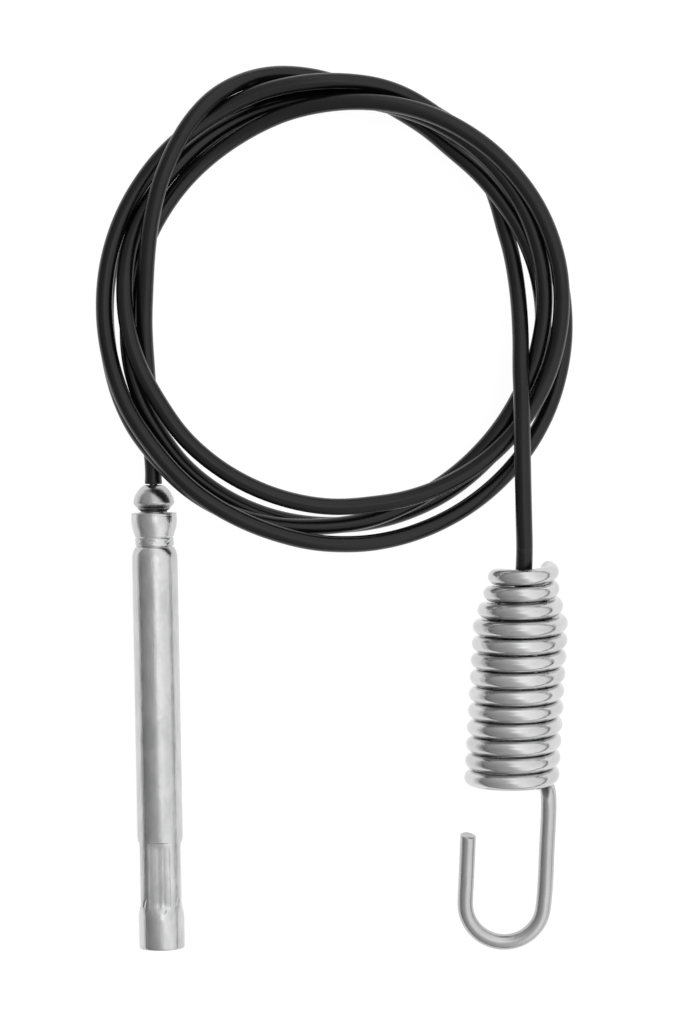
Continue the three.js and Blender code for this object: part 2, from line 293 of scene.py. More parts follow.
def jacket_material():
    """Black vinyl: fine draw lines along it, a little dust, dull scuffs and small nicks."""
    n = Nodes("black_vinyl")
    lines = n.noise(n.stretched(5.0, 5.0, 0.10), 1.0, 4.0, 0.6)
    skin = n.noise(n.stretched(1.0, 1.0, 1.0), 7.0, 5.0, 0.65)
    patches = n.noise(n.stretched(0.16, 0.16, 0.05), 1.0, 3.0, 0.5, 0.4)
    dust = n.spots(n.stretched(1.0, 1.0, 0.7), 1.3, 0.03, 0.10)
    rare = n.span(n.noise(n.stretched(0.5, 0.5, 0.35), 1.0, 2.0), 0.56, 0.68, 0.0, 1.0)
    dust = n.math("MULTIPLY", dust, rare)
    scuff = n.span(n.noise(n.stretched(1.8, 1.8, 0.28), 1.0, 5.0, 0.7, 0.6), 0.62, 0.74, 0.0, 1.0)
    scuff = n.math("MAXIMUM", n.math("MULTIPLY", scuff, 0.55), n.wear_and_shade_map.outputs["Fac"])
    base = n.blend(n.span(patches, 0.3, 0.7, 0.0, 1.0), (0.0034, 0.0034, 0.0036), (0.0066, 0.0065, 0.0064))
    base = n.blend(n.math("MULTIPLY", scuff, 0.6), base, (0.022, 0.0215, 0.021))
    base = n.blend(n.math("MULTIPLY", dust, 0.7), base, (0.10, 0.098, 0.094))
    rough = n.span(patches, 0.25, 0.75, 0.15, 0.24)
    rough = n.math("ADD", rough, n.math("MULTIPLY", n.span(skin, 0.3, 0.7, -0.5, 0.5), 0.07))
    rough = n.math("ADD", rough, n.math("MULTIPLY", scuff, 0.20))
    fine = n.bump(skin, 0.000012)
    drawn = n.bump(lines, 0.00003, 1.0, fine)
    nicks = n.bump(n.math("MULTIPLY", scuff, -1.0), 0.00003, 1.0, drawn)
    return n.finish(base, rough, nicks, Metallic=0.0, Specular_IOR_Level=0.36)


def steel_material(name, dark, light, rough_low, rough_high, along=0.05, pits=0.4, dents=0.00006, grain=0.000012, across=6.0):
    """Plated or bright steel: drawing or turning lines, soft unevenness, small pits, dull marks, and painted shade
    where a piece's vertices ask for it.
    """
    n = Nodes(name)
    lines = n.noise(n.stretched(across, across, along), 1.0, 5.0, 0.62)
    hair = n.noise(n.stretched(across * 2.6, across * 2.6, along * 1.8), 1.0, 3.0, 0.7)
    cloud = n.noise(n.stretched(0.22, 0.22, 0.10), 1.0, 4.0, 0.55, 0.3)
    mottle = n.noise(n.stretched(1.0, 1.0, 0.8), 1.6, 4.0, 0.6)
    fine = n.noise(n.stretched(1.0, 1.0, 1.0), 11.0, 3.0, 0.6)
    pit = n.spots(n.stretched(1.0, 1.0, 0.55), 0.75, 0.02, 0.13)
    where = n.span(n.noise(n.stretched(0.8, 0.8, 0.25), 1.0, 2.0), 0.52, 0.64, 0.0, 1.0)
    pit = n.math("MULTIPLY", n.math("MULTIPLY", pit, where), pits)
    dull_marks_and_shade = n.span(n.noise(n.stretched(2.2, 2.2, 0.35), 1.0, 5.0, 0.72, 0.8), 0.64, 0.78, 0.0, 1.0)
    # the vertex attribute adds real wear, and on the spring's hook painted shade, to the dull marks; both darken the
    # colour below
    dull_marks_and_shade = n.math("MAXIMUM", n.math("MULTIPLY", dull_marks_and_shade, 0.5), n.wear_and_shade_map.outputs["Fac"])
    base = n.blend(n.span(cloud, 0.3, 0.7, 0.0, 1.0), dark, light)
    base = n.blend(n.math("MULTIPLY", dull_marks_and_shade, 0.5), base, tuple(x * 0.72 for x in dark))
    base = n.blend(pit, base, tuple(x * 0.30 for x in dark))
    rough = n.span(cloud, 0.25, 0.75, rough_low, rough_high)
    rough = n.math("ADD", rough, n.math("MULTIPLY", n.span(lines, 0.3, 0.7, -0.5, 0.5), 0.09))
    rough = n.math("ADD", rough, n.math("MULTIPLY", dull_marks_and_shade, 0.16))
    rough = n.math("ADD", rough, n.math("MULTIPLY", pit, 0.2))
    n1 = n.bump(fine, grain * 0.5)
    n2 = n.bump(hair, grain, 1.0, n1)
    n3 = n.bump(lines, grain * 2.2, 1.0, n2)
    n4 = n.bump(mottle, dents * 0.5, 1.0, n3)
    n5 = n.bump(cloud, dents * 2.0, 1.0, n4)
    n6 = n.bump(n.math("MULTIPLY", pit, -1.0), 0.00006, 1.0, n5)
    return n.finish(base, rough, n6, Metallic=1.0)


vinyl = jacket_material()
zinc = steel_material("zinc_sleeve", (0.525, 0.527, 0.530), (0.635, 0.635, 0.635), 0.07, 0.15, 0.035, 0.7, 0.00004)
turned = steel_material("turned_plug", (0.45, 0.45, 0.455), (0.58, 0.58, 0.58), 0.17, 0.27, 7.0, 0.5, 0.00004, across=0.3)
cut_steel = steel_material("insert", (0.30, 0.30, 0.30), (0.42, 0.42, 0.415), 0.30, 0.45, 5.0, 0.5, 0.00003, across=0.4)
music_wire = steel_material("spring_wire", (0.56, 0.56, 0.562), (0.65, 0.65, 0.65), 0.03, 0.075, 0.02, 0.6, 0.00003)
strand = steel_material("wire_rope", (0.33, 0.33, 0.335), (0.47, 0.47, 0.47), 0.28, 0.42, 0.05, 0.5, 0.00003)
crimped = steel_material("end_stop", (0.40, 0.40, 0.405), (0.53, 0.53, 0.53), 0.26, 0.38, 5.0, 0.5, 0.00005, across=0.3)

# ---------------------------------------------------------------- cable
# The cable's centreline in millimetres, from the plug on the sleeve to the end stop in the spring:
# four and a half turns on each other, each strand crossing over the ones laid before it.
ROUTE = [
    (-54.27, 64.75, 6.35), (-54.41, 70.35, 6.48), (-54.97, 75.92, 6.7), (-55.3, 81.5, 7.04), (-55.47, 87.08, 7.61), (-55.68, 92.62, 8.43),
    (-55.99, 98.12, 9.46), (-56.29, 103.59, 10.65), (-56.41, 109.04, 11.94), (-56.27, 114.48, 13.3), (-55.97, 119.9, 14.69), (-55.61, 125.33, 16.04),
    (-55.1, 130.77, 17.29), (-54.34, 136.21, 18.39), (-53.21, 141.62, 19.32), (-51.72, 146.98, 20), (-49.74, 152.21, 20.37), (-47.35, 157.27, 20.36),
    (-44.58, 162.13, 19.93), (-41.32, 166.59, 19.04), (-37.59, 170.51, 17.62), (-33.38, 173.6, 15.58), (-28.96, 175.87, 13.02), (-24.43, 177.47, 10.13),
    (-19.68, 178.33, 7.3), (-14.54, 178.42, 5.07), (-9.21, 177.83, 3.48), (-3.85, 176.52, 2.56), (1.43, 174.66, 2.3), (6.56, 172.42, 2.62),
    (11.48, 169.89, 3.46), (16.13, 167.04, 4.75), (20.52, 164.03, 6.5), (24.53, 160.72, 8.59), (28.45, 157.16, 10.43), (32.55, 153.56, 11.71),
    (36.53, 149.71, 12.54), (40.17, 145.47, 12.96), (43.53, 140.99, 13.02), (46.56, 136.28, 12.77), (49.07, 131.3, 12.26), (51.1, 126.12, 11.58),
    (52.59, 120.78, 10.79), (53.52, 115.32, 9.94), (53.85, 109.79, 9.05), (53.59, 104.27, 8.14), (52.83, 98.8, 7.23), (51.45, 93.44, 6.34),
    (49.48, 88.26, 5.49), (47.05, 83.28, 4.7), (44.15, 78.54, 3.99), (40.8, 74.09, 3.37), (37.01, 69.99, 2.88), (32.84, 66.26, 2.52),
    (28.32, 62.96, 2.33), (23.49, 60.12, 2.31), (18.41, 57.76, 2.45), (13.15, 55.85, 2.73), (7.73, 54.48, 3.12), (2.21, 53.62, 3.62),
    (-3.35, 53.25, 4.19), (-8.91, 53.38, 4.82), (-14.44, 54.03, 5.5), (-19.88, 55.19, 6.2), (-25.17, 56.87, 6.92), (-30.28, 59.06, 7.65),
    (-35.15, 61.73, 8.39), (-39.74, 64.86, 9.13), (-43.97, 68.46, 9.84), (-47.74, 72.54, 10.55), (-51.03, 77.03, 11.21), (-54.05, 81.73, 11.72),
    (-56.66, 86.67, 12.01), (-58.68, 91.9, 12.03), (-60.07, 97.32, 11.85), (-60.82, 102.86, 11.52), (-61.02, 108.45, 11.12), (-60.75, 114.04, 10.75),
    (-59.92, 119.57, 10.43), (-58.51, 124.98, 10.13), (-56.6, 130.24, 9.88), (-54.27, 135.34, 9.71), (-51.54, 140.23, 9.65), (-48.37, 144.85, 9.74),
    (-44.79, 149.15, 10.01), (-40.82, 153.08, 10.48), (-36.51, 156.6, 11.12), (-31.94, 159.75, 11.91), (-27.17, 162.55, 12.81), (-22.21, 164.96, 13.8),
    (-17.07, 166.91, 14.85), (-11.75, 168.3, 15.97), (-6.34, 169.19, 17.1), (-0.85, 169.64, 18.15), (4.67, 169.6, 19.1), (10.19, 169.06, 19.91),
    (15.66, 168.02, 20.55), (21.01, 166.44, 21.03), (26.18, 164.29, 21.35), (31.11, 161.64, 21.5), (35.78, 158.54, 21.5), (40.12, 155, 21.36),
    (44.09, 151.06, 21.09), (47.65, 146.75, 20.71), (50.81, 142.15, 20.21), (53.45, 137.24, 19.6), (55.53, 132.09, 18.92), (57.11, 126.76, 18.19),
    (58.09, 121.3, 17.44), (58.46, 115.76, 16.69), (58.26, 110.21, 15.96), (57.51, 104.7, 15.27), (56.23, 99.28, 14.64), (54.44, 94, 14.08),
    (52.1, 88.93, 13.62), (49.23, 84.13, 13.28), (45.91, 79.62, 13.07), (42.15, 75.47, 12.98), (37.97, 71.73, 12.99), (33.43, 68.46, 13.05),
    (28.58, 65.64, 13.15), (23.49, 63.31, 13.28), (18.2, 61.48, 13.45), (12.75, 60.17, 13.64), (7.21, 59.37, 13.86), (1.64, 58.78, 14.11),
    (-3.95, 58.63, 14.39), (-9.53, 59.1, 14.66), (-15.03, 60.15, 14.92), (-20.41, 61.7, 15.18), (-25.62, 63.74, 15.43), (-30.63, 66.24, 15.67),
    (-35.39, 69.19, 15.88), (-39.85, 72.57, 16.07), (-43.97, 76.36, 16.22), (-47.63, 80.6, 16.34), (-50.83, 85.21, 16.39), (-53.78, 89.97, 16.38),
    (-56.45, 94.9, 16.31), (-58.61, 100.06, 16.15), (-60.23, 105.42, 15.91), (-61.24, 110.92, 15.55), (-61.7, 116.48, 15.05), (-61.6, 122.05, 14.45),
    (-60.91, 127.58, 13.82), (-59.55, 132.97, 13.15), (-57.54, 138.15, 12.48), (-54.95, 143.08, 11.81), (-51.87, 147.71, 11.14), (-48.36, 152.03, 10.47),
    (-44.45, 155.99, 9.83), (-40.19, 159.58, 9.28), (-35.58, 162.75, 8.89), (-30.67, 165.43, 8.74), (-25.49, 167.58, 8.88), (-20.15, 169.2, 9.4),
    (-14.74, 170.32, 10.28), (-9.26, 170.81, 11.38), (-3.79, 170.93, 12.58), (1.68, 170.69, 13.75), (7.12, 169.82, 14.79), (12.51, 168.52, 15.61),
    (17.82, 166.83, 16.23), (22.97, 164.69, 16.69), (27.89, 162.02, 17.01), (32.51, 158.86, 17.22), (36.79, 155.25, 17.31), (40.68, 151.22, 17.29),
    (44.14, 146.81, 17.17), (47.15, 142.09, 16.97), (49.6, 137.06, 16.69), (51.44, 131.78, 16.32), (52.78, 126.36, 15.87), (53.58, 120.84, 15.33),
    (53.83, 115.28, 14.69), (53.51, 109.73, 13.99), (52.63, 104.24, 13.24), (51.28, 98.86, 12.48), (49.32, 93.67, 11.74), (46.92, 88.65, 11.03),
    (44.16, 83.82, 10.37), (40.99, 79.23, 9.79), (37.44, 74.93, 9.3), (33.52, 70.94, 8.91), (29.28, 67.28, 8.64), (24.75, 63.99, 8.49),
    (19.96, 61.07, 8.45), (14.98, 58.52, 8.5), (9.82, 56.32, 8.64), (4.48, 54.65, 8.85), (-1.02, 53.61, 9.13), (-6.59, 53.07, 9.46),
    (-12.18, 52.89, 9.84), (-17.76, 53.13, 10.25), (-23.29, 53.94, 10.68), (-28.69, 55.35, 11.08), (-33.93, 57.32, 11.46), (-38.92, 59.84, 11.8),
    (-43.59, 62.91, 12.06), (-47.87, 66.53, 12.21), (-51.73, 70.59, 12.22), (-55.33, 74.89, 12.08), (-58.62, 79.4, 11.79), (-61.31, 84.3, 11.35),
    (-63.45, 89.45, 10.78), (-65.05, 94.77, 10.08), (-66.21, 100.19, 9.26), (-67, 105.67, 8.36), (-67.4, 111.18, 7.42), (-67.35, 116.7, 6.47),
    (-66.8, 122.2, 5.55), (-65.75, 127.64, 4.67), (-64.22, 132.97, 3.89), (-62.25, 138.17, 3.22), (-59.85, 143.21, 2.72), (-56.99, 148.02, 2.4),
    (-53.7, 152.55, 2.3), (-50.04, 156.79, 2.5), (-46.04, 160.68, 3.02), (-41.73, 164.16, 3.84), (-37.14, 167.18, 4.96), (-32.35, 169.73, 6.34),
    (-27.4, 171.78, 7.97), (-22.34, 173.3, 9.85), (-17.05, 174.43, 11.28), (-11.53, 175.2, 11.83), (-5.94, 175.49, 11.74), (-0.36, 175.17, 11.28),
    (5.12, 174.31, 10.54), (10.49, 173, 9.6), (15.71, 171.28, 8.5), (20.75, 169.15, 7.28), (25.52, 166.52, 5.99), (30.2, 163.65, 4.83),
    (34.75, 160.51, 3.94), (38.89, 156.79, 3.29), (42.77, 152.77, 2.83), (46.4, 148.51, 2.54), (49.67, 143.97, 2.38), (52.55, 139.16, 2.31),
    (54.99, 134.11, 2.3), (56.97, 128.87, 2.3), (58.49, 123.48, 2.3), (59.53, 117.97, 2.3), (60.09, 112.4, 2.3), (60.16, 106.79, 2.31),
    (59.71, 101.21, 2.4), (58.75, 95.69, 2.58), (57.31, 90.29, 2.86), (55.37, 85.04, 3.21), (52.94, 80.01, 3.64), (50.04, 75.24, 4.15),
    (46.7, 70.78, 4.71), (42.96, 66.65, 5.33), (38.87, 62.88, 6), (34.47, 59.49, 6.71), (29.79, 56.5, 7.46), (24.86, 53.94, 8.23),
    (19.74, 51.82, 9.02), (14.45, 50.15, 9.82), (9.03, 48.98, 10.63), (3.52, 48.33, 11.43), (-2.02, 48.22, 12.26), (-7.55, 48.55, 13.09),
    (-13.03, 49.44, 13.83), (-18.42, 50.83, 14.5), (-23.71, 52.59, 15.1), (-28.86, 54.73, 15.64), (-33.84, 57.26, 16.07), (-38.61, 60.19, 16.4),
    (-43.09, 63.55, 16.61), (-47.22, 67.33, 16.7), (-50.98, 71.48, 16.67), (-54.46, 75.87, 16.5), (-57.7, 80.44, 16.2), (-60.57, 85.23, 15.79),
    (-62.88, 90.32, 15.39), (-64.66, 95.62, 15.03), (-66.02, 101.05, 14.71), (-66.92, 106.57, 14.42), (-67.36, 112.15, 14.17), (-67.3, 117.75, 13.96),
    (-66.72, 123.32, 13.79), (-65.63, 128.82, 13.67), (-64.02, 134.18, 13.58), (-61.91, 139.37, 13.54), (-59.32, 144.34, 13.55), (-56.28, 149.05, 13.62),
    (-52.86, 153.49, 13.74), (-49.03, 157.57, 13.93), (-44.78, 161.21, 14.17), (-40.22, 164.46, 14.48), (-35.43, 167.34, 14.84), (-30.46, 169.91, 15.27),
    (-25.32, 172.09, 15.72), (-19.96, 173.65, 16.13), (-14.46, 174.71, 16.4), (-8.89, 175.33, 16.44), (-3.3, 175.5, 16.15), (2.26, 175.2, 15.57),
    (7.75, 174.39, 14.74), (13.04, 172.85, 13.77), (18.04, 170.58, 12.67), (22.71, 167.73, 11.42), (27.09, 164.52, 10.06), (30.99, 160.71, 8.79),
    (34.32, 156.3, 7.9), (37.33, 151.6, 7.41), (39.82, 146.58, 7.3), (41.65, 141.29, 7.51), (43.06, 135.89, 7.99), (44.53, 130.53, 8.69),
    (45.66, 125.11, 9.57), (46.45, 119.66, 10.59), (46.97, 114.19, 11.71), (47.25, 108.72, 12.9), (47.36, 103.24, 14.1), (47.28, 97.76, 15.27),
    (47.39, 92.26, 16.32), (47.51, 86.73, 17.23), (47.54, 81.17, 17.98), (47.61, 75.6, 18.53), (47.7, 70, 18.9), (47.82, 64.4, 19.1),
    (47.94, 58.8, 19.13), (48.08, 53.2, 19.01), (48.21, 47.6, 18.75), (48.08, 42.01, 18.35), (47.78, 36.44, 17.85),
]
CABLE_D = 4.6
line, along = even(ROUTE, 1.3)
length = along[-1]


def jacket_radius(s):
    r = CABLE_D / 2 + 0.010 * np.sin(s * 0.11) + 0.006 * np.sin(s * 0.37 + 1.0)
    r = r + 0.11 * (1 - smooth(0.2, 2.2, s))                       # pushed up against the plug
    for at in (length - 10.4, length - 10.9):                      # rubbed by the spring's first coil
        r = r - 0.05 * np.exp(-(((s - at) / 0.16) ** 2))
    return r


# rings closer together at both ends
extra = np.r_[0.0, 0.05, 0.16, 0.35, 0.7, length - np.r_[12.0, 11.6, 11.3, 11.1, 10.9, 10.75, 10.6, 10.4, 10.2, 9.9, 9.4, 0.35, 0.16, 0.05, 0.0]]
s_all = np.unique(np.r_[along[(along > 1.0) & (along < length - 1.0)], extra])
s_all = s_all[np.r_[True, np.diff(s_all) > 0.03]]
path = np.c_[[np.interp(s_all, along, line[:, k]) for k in range(3)]].T
radius = jacket_radius(s_all)
for k, drop in ((0, 0.22), (1, 0.10), (2, 0.02)):
    radius[k] -= drop
    radius[-1 - k] -= drop
verts, faces, local = wire(path, s_all, radius, 24, (1.0, 0.0, 0.0))
wear_and_shade = np.maximum(np.exp(-(((s_all - (length - 10.65)) / 0.5) ** 2)) * 0.9, np.exp(-((s_all / 0.5) ** 2)) * 0.5)
jacket = mesh_piece("cable_jacket_tube", verts, faces, local, vinyl, 50, np.repeat(wear_and_shade, 24))
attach(jacket, "cable")
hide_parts("cable_coil", "cable_lead_sleeve", "cable_lead_spring")


# ---------------------------------------------------------------- frames of the two fittings
class Axis:
    """A fitting's own frame: along its axis, to its side and up."""

    def __init__(self, origin, axis, side):
        self.o = np.array(origin, float)
        self.w = unit(np.array(axis, float))
        self.x = unit(np.array(side, float))
        self.z = np.cross(self.w, self.x)
        if self.z[2] < 0:
            self.z = -self.z

    def __call__(self, w, x, z):
        w, x, z = np.broadcast_arrays(np.asarray(w, float), np.asarray(x, float), np.asarray(z, float))
        return self.o + w[..., None] * self.w + x[..., None] * self.x + z[..., None] * self.z


sleeve_axis = Axis((-54.12, 56.75, 6.35), (0.018149, -0.999835, 0.0), (0.999835, 0.018149, 0.0))
spring_axis = Axis((48.17, 43.9, 18.50), (-0.052137, -0.994829, -0.087156), (0.99863, -0.05234, 0.0))


def turned_rings(axis, w, r, sides):
    """Rings about an axis. r is one radius for each ring, or one for each ring and each angle."""
    t = (np.arange(sides) + 0.5) / sides * TAU
    r = np.asarray(r, float)
    r = r[:, None] * np.ones(sides) if r.ndim == 1 else r
    x, z = r * np.cos(t), r * np.sin(t)
    return axis(np.asarray(w, float)[:, None], x, z), np.stack([x, z, np.broadcast_to(np.asarray(w, float)[:, None], x.shape)], -1)


def rounded(profile, step=0.25, radius=0.18, passes=2):
    """A lathe profile with each corner a little rounded."""
    p = np.array(profile, float)
    for _ in range(passes):
        out = [p[0]]
        for a, b in zip(p[:-1], p[1:]):
            d = np.linalg.norm(b - a)
            cut = min(radius, d * 0.3) / max(d, 1e-9)
            out += [a + (b - a) * cut, b - (b - a) * cut]
        out.append(p[-1])
        p = np.array(out)
        radius *= 0.45
    out = [p[0]]
    for a, b in zip(p[:-1], p[1:]):
        n = max(1, int(np.linalg.norm(b - a) / step))
        out += [a + (b - a) * k / n for k in range(1, n + 1)]
    return np.array(out)


# ---------------------------------------------------------------- sleeve
SLEEVE_LEN = 121.22
CRIMP_A, CRIMP_B = SLEEVE_LEN - 31.4, SLEEVE_LEN - 8.0
PANEL_A, PANEL_B = 91.6, 109.9
SIDES = 176
tau = (np.arange(SIDES) + 0.5) / SIDES * TAU
cos, sin = np.abs(np.cos(tau)), np.abs(np.sin(tau))

form_u = np.array([0.0, 2.0, 3.6, 5.0, 6.35, 7.0, 8.1, 9.2, 9.75, 10.6, 11.9, 13.4, 15.0, 60.0, 130.0])
form_r = np.array([6.34, 6.35, 6.23, 5.87, 5.45, 5.345, 5.33, 5.345, 5.56, 5.98, 6.28, 6.35, 6.35, 6.35, 6.35])


def monotone(x, px, py):
    """Smooth interpolation that doesn't overshoot."""
    h, d = np.diff(px), np.diff(py) / np.diff(px)
    m = np.zeros(len(px))
    for i in range(1, len(px) - 1):
        if d[i - 1] * d[i] > 0:
            a, b = 2 * h[i] + h[i - 1], h[i] + 2 * h[i - 1]
            m[i] = (a + b) / (a / d[i - 1] + b / d[i])
    i = np.clip(np.searchsorted(px, x, side="right") - 1, 0, len(h) - 1)
    t = (x - px[i]) / h[i]
    return (
        (1 + 2 * t) * (1 - t) ** 2 * py[i]
        + t * (1 - t) ** 2 * h[i] * m[i]
        + t * t * (3 - 2 * t) * py[i + 1]
        + t * t * (t - 1) * h[i] * m[i + 1]
    )


def crimped_square(half, power=3.4):
    return half / (cos**power + sin**power) ** (1 / power)


def crimp(u):
    return smooth(CRIMP_A, CRIMP_A + 3.6, u) * (1 - smooth(CRIMP_B - 5.5, CRIMP_B, u))


def crease(x, u, a, b, width):
    """1 on a short line from a to b on the surface, each (x, u), falling off across it."""
    a, b = np.array(a, float), np.array(b, float)
    d = b - a
    k = np.clip(((x - a[0]) * d[0] + (u - a[1]) * d[1]) / (d @ d), 0, 1)
    return np.exp(-(((x - a[0] - k * d[0]) ** 2 + (u - a[1] - k * d[1]) ** 2) / width**2))


def sleeve_outer(u):
    """The sleeve's outside radius at this distance from its lip, all round."""
    base = monotone(np.array([u]), form_u, form_r)[0]
    k = crimp(u)
    r = np.full(SIDES, base)
    r = r + (np.minimum(crimped_square(5.78), base + 0.12) - base) * k
    # hard edges of the rolled groove, with the roller's chatter between them
    r = r - 0.20 * math.exp(-(((u - 6.85) / 0.17) ** 2)) - 0.32 * math.exp(-(((u - 9.35) / 0.22) ** 2))
    r = r - 0.055 * math.exp(-(((u - 0.75) / 0.14) ** 2))
    inside = float(smooth(6.7, 7.2, u) * (1 - smooth(9.0, 9.4, u)))
    r = r + inside * 0.030 * (np.sin(tau * 7 + u * 3.1) + np.sin(tau * 13 - u * 5.3 + 1.0))
    # the crimping jaws' four flats, each a shallow pressed panel with two grooves
    for face in range(4):
        turn = tau - face * TAU / 4
        x, on = r * np.sin(turn), np.cos(turn) > 0.2
        edge = smooth(-3.15, -2.75, x) * (1 - smooth(2.8, 3.15, x)) * on
        panel = edge * smooth(PANEL_A - 0.14, PANEL_A + 0.14, u) * (1 - smooth(PANEL_B - 0.9, PANEL_B + 0.3, u))
        grooves = on * smooth(PANEL_A + 0.5, PANEL_A + 1.3, u) * (1 - smooth(PANEL_B - 0.7, PANEL_B, u))
        r = r - 0.085 * panel
        r = r - 0.10 * edge * math.exp(-(((u - PANEL_A + 0.02) / 0.13) ** 2))
        r = r + 0.07 * on * edge * math.exp(-(((u - PANEL_A + 0.35) / 0.25) ** 2))
        # seen from above, x runs left to right on the face turned up
        right = -x
        r = r - 0.022 * grooves * np.exp(-(((right + 0.40) / 0.42) ** 2))
        r = r - 0.018 * grooves * np.exp(-(((right - 1.20) / 0.30) ** 2))
        r = r + 0.010 * grooves * np.exp(-(((right - 0.45) / 0.20) ** 2))
        # folds where the flat runs out again
        r = r - 0.19 * on * crease(right, u, (1.5, 110.2), (1.0, 110.9), 0.16)
        r = r + 0.018 * on * crease(right, u, (0.1, 111.2), (0.3, 113.4), 0.28)
        r = r + 0.010 * on * crease(right, u, (-1.4, 111.5), (-0.9, 113.4), 0.32)
    # corner folds between the flats
    for face in range(4):
        turn = tau - (face + 0.5) * TAU / 4
        x, on = r * np.sin(turn), np.cos(turn) > 0.2
        r = r - 0.11 * on * crease(x, u, (-0.5, 107.3), (0.1, 109.0), 0.32)
        r = r + 0.03 * on * crease(x, u, (0.5, 108.2), (0.9, 110.2), 0.40)
    # a formed tube is never quite round or straight sided
    r = r + 0.014 * np.sin(2 * tau + 0.6) + 0.008 * np.sin(3 * tau + u * 0.045) + 0.006 * math.sin(u * 0.31)
    return r


def sleeve_inner(u, gap=0.0):
    if u < 8.3:
        base = 5.25 - 1.03 * float(smooth(4.5, 7.0, u))
    else:
        base = 4.22 + 1.03 * float(smooth(9.6, 12.6, u))
    r = np.full(SIDES, base)
    return r + (np.minimum(crimped_square(4.68), base) - base) * crimp(u) - gap


def steps(*spans):
    out = []
    for a, b, step in spans:
        out += list(np.arange(a, b - 1e-6, step))
    return out


us, rs = [], []


def ring(u, r):
    us.append(u)
    rs.append(r)


ring(0.30, sleeve_inner(0.3))
ring(0.06, sleeve_inner(0.3) + 0.10)
ring(0.0, sleeve_inner(0.3) + 0.28)
lip = 0.010 * np.sin(9 * tau + 1) + 0.012 * np.sin(5 * tau) + 0.008 * np.sin(17 * tau)
ring(0.0, sleeve_outer(1.2) - 0.34 + lip)
ring(0.05, sleeve_outer(1.2) - 0.17 + lip)
ring(0.16, sleeve_outer(1.2) - 0.06)
ring(0.34, sleeve_outer(1.2) - 0.01)
for u in steps((0.5, 1.1, 0.09), (1.1, 6.2, 0.45), (6.2, 10.2, 0.14), (10.2, 16.0, 0.45), (16.0, 88.0, 2.4), (88.0, 91.0, 0.4), (91.0, 92.4, 0.12), (92.4, 106.4, 0.45), (106.4, 114.2, 0.17), (114.2, 119.8, 0.6)):
    ring(u, sleeve_outer(u))
ring(SLEEVE_LEN - 1.0, sleeve_outer(120.0))
for back, drop in ((0.62, 0.0), (0.42, 0.03), (0.24, 0.10), (0.10, 0.21), (0.02, 0.36), (0.0, 0.46)):
    ring(SLEEVE_LEN - back, sleeve_outer(120.0) - drop)
ring(SLEEVE_LEN, sleeve_inner(120.0) + 0.22)
ring(SLEEVE_LEN - 0.06, sleeve_inner(120.0) + 0.09)
ring(SLEEVE_LEN - 0.25, sleeve_inner(120.0))
for u in steps((1.0, 8.0, 1.4), (8.0, 32.0, 0.8), (32.0, 106.0, 9.0), (106.0, 120.6, 0.6)):
    ring(SLEEVE_LEN - u, sleeve_inner(SLEEVE_LEN - u))
rings, local = turned_rings(sleeve_axis, us, np.array(rs), SIDES)
verts, faces = ringed(rings, loop=True)
edge_wear = np.maximum(np.exp(-((np.array(us) / 0.5) ** 2)), np.exp(-(((np.array(us) - SLEEVE_LEN) / 0.5) ** 2))) * 0.6
sleeve = mesh_piece("sleeve_formed_tube", verts, faces, local.reshape(-1, 3), zinc, 48, np.repeat(edge_wear, SIDES))
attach(sleeve, "sleeve")
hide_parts("sleeve_tube")

# ---------------------------------------------------------------- threaded insert
INSERT_A, INSERT_B = CRIMP_A - 1.6, CRIMP_B + 2.2
PITCH_ROD = 0.907
us, rs = [], []
ring(INSERT_A, np.full(SIDES, 3.35))
ring(INSERT_A, sleeve_inner(INSERT_A, 0.55))
ring(INSERT_A + 0.10, sleeve_inner(INSERT_A, 0.30))
ring(INSERT_A + 0.5, sleeve_inner(INSERT_A + 0.5, 0.06))
for u in steps((INSERT_A + 1.2, INSERT_B - 0.6, 0.8)):
    ring(u, sleeve_inner(u, 0.06))
ring(INSERT_B - 0.5, sleeve_inner(INSERT_B - 0.5, 0.06))
ring(INSERT_B - 0.10, sleeve_inner(INSERT_B, 0.30))
ring(INSERT_B, sleeve_inner(INSERT_B, 0.55))
ring(INSERT_B, np.full(SIDES, 3.50))
ring(INSERT_B - 0.12, np.full(SIDES, 3.36))
# a right-hand thread, cut with a V and a small flat on its crest
for u in np.arange(INSERT_B - 0.3, INSERT_A + 0.3, -PITCH_ROD / 7):
    phase = (u / PITCH_ROD + tau / TAU) % 1.0
    v = np.clip(np.abs(phase * 2 - 1) * 1.25 - 0.12, 0, 1)
    depth = float(smooth(INSERT_B - 0.2, INSERT_B - 1.1, u)) * float(smooth(INSERT_A + 0.2, INSERT_A + 1.1, u))
    ring(u, 3.16 - 0.42 * v * depth + 0.14 * (1 - depth))
rings, local = turned_rings(sleeve_axis, us, np.array(rs), SIDES)
keep = np.arange(0, SIDES, 2)
verts, faces = ringed(rings[:, keep], loop=True)
insert = mesh_piece("rod_insert", verts, faces, local[:, keep].reshape(-1, 3), cut_steel, 42)
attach(insert, "sleeve")
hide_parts("threaded_insert")

